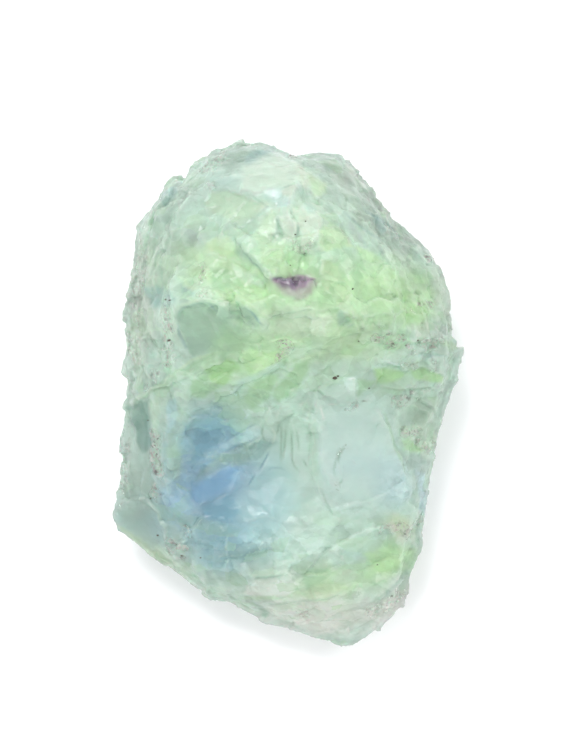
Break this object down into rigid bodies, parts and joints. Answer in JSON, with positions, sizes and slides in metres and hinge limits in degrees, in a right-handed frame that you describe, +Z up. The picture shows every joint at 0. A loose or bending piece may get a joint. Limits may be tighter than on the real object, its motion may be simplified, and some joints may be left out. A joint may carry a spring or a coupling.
{
  "type": "fluorite specimen",
  "caption": "Rough see-through lump of mint-green and blue fluorite with broken cleavage faces, lying on its flattest side as a display specimen.",
  "frame": {"origin": "under the middle of the lump's box, on the surface that it rests on", "axes": "+Z up; +Y along the longest side, from the pointed toe to the domed end; +X to the right seen from above with the domed end away"},
  "size_m": [0.0418, 0.0608, 0.026],
  "materials": {
    "fluorite": "milky see-through mint-green stone with blue and lime zones, glossy cleavage faces and frosted grainy seams"
  },
  "bodies": {
    "root": {"fluorite": "fluorite"}
  },
  "joints": []
}
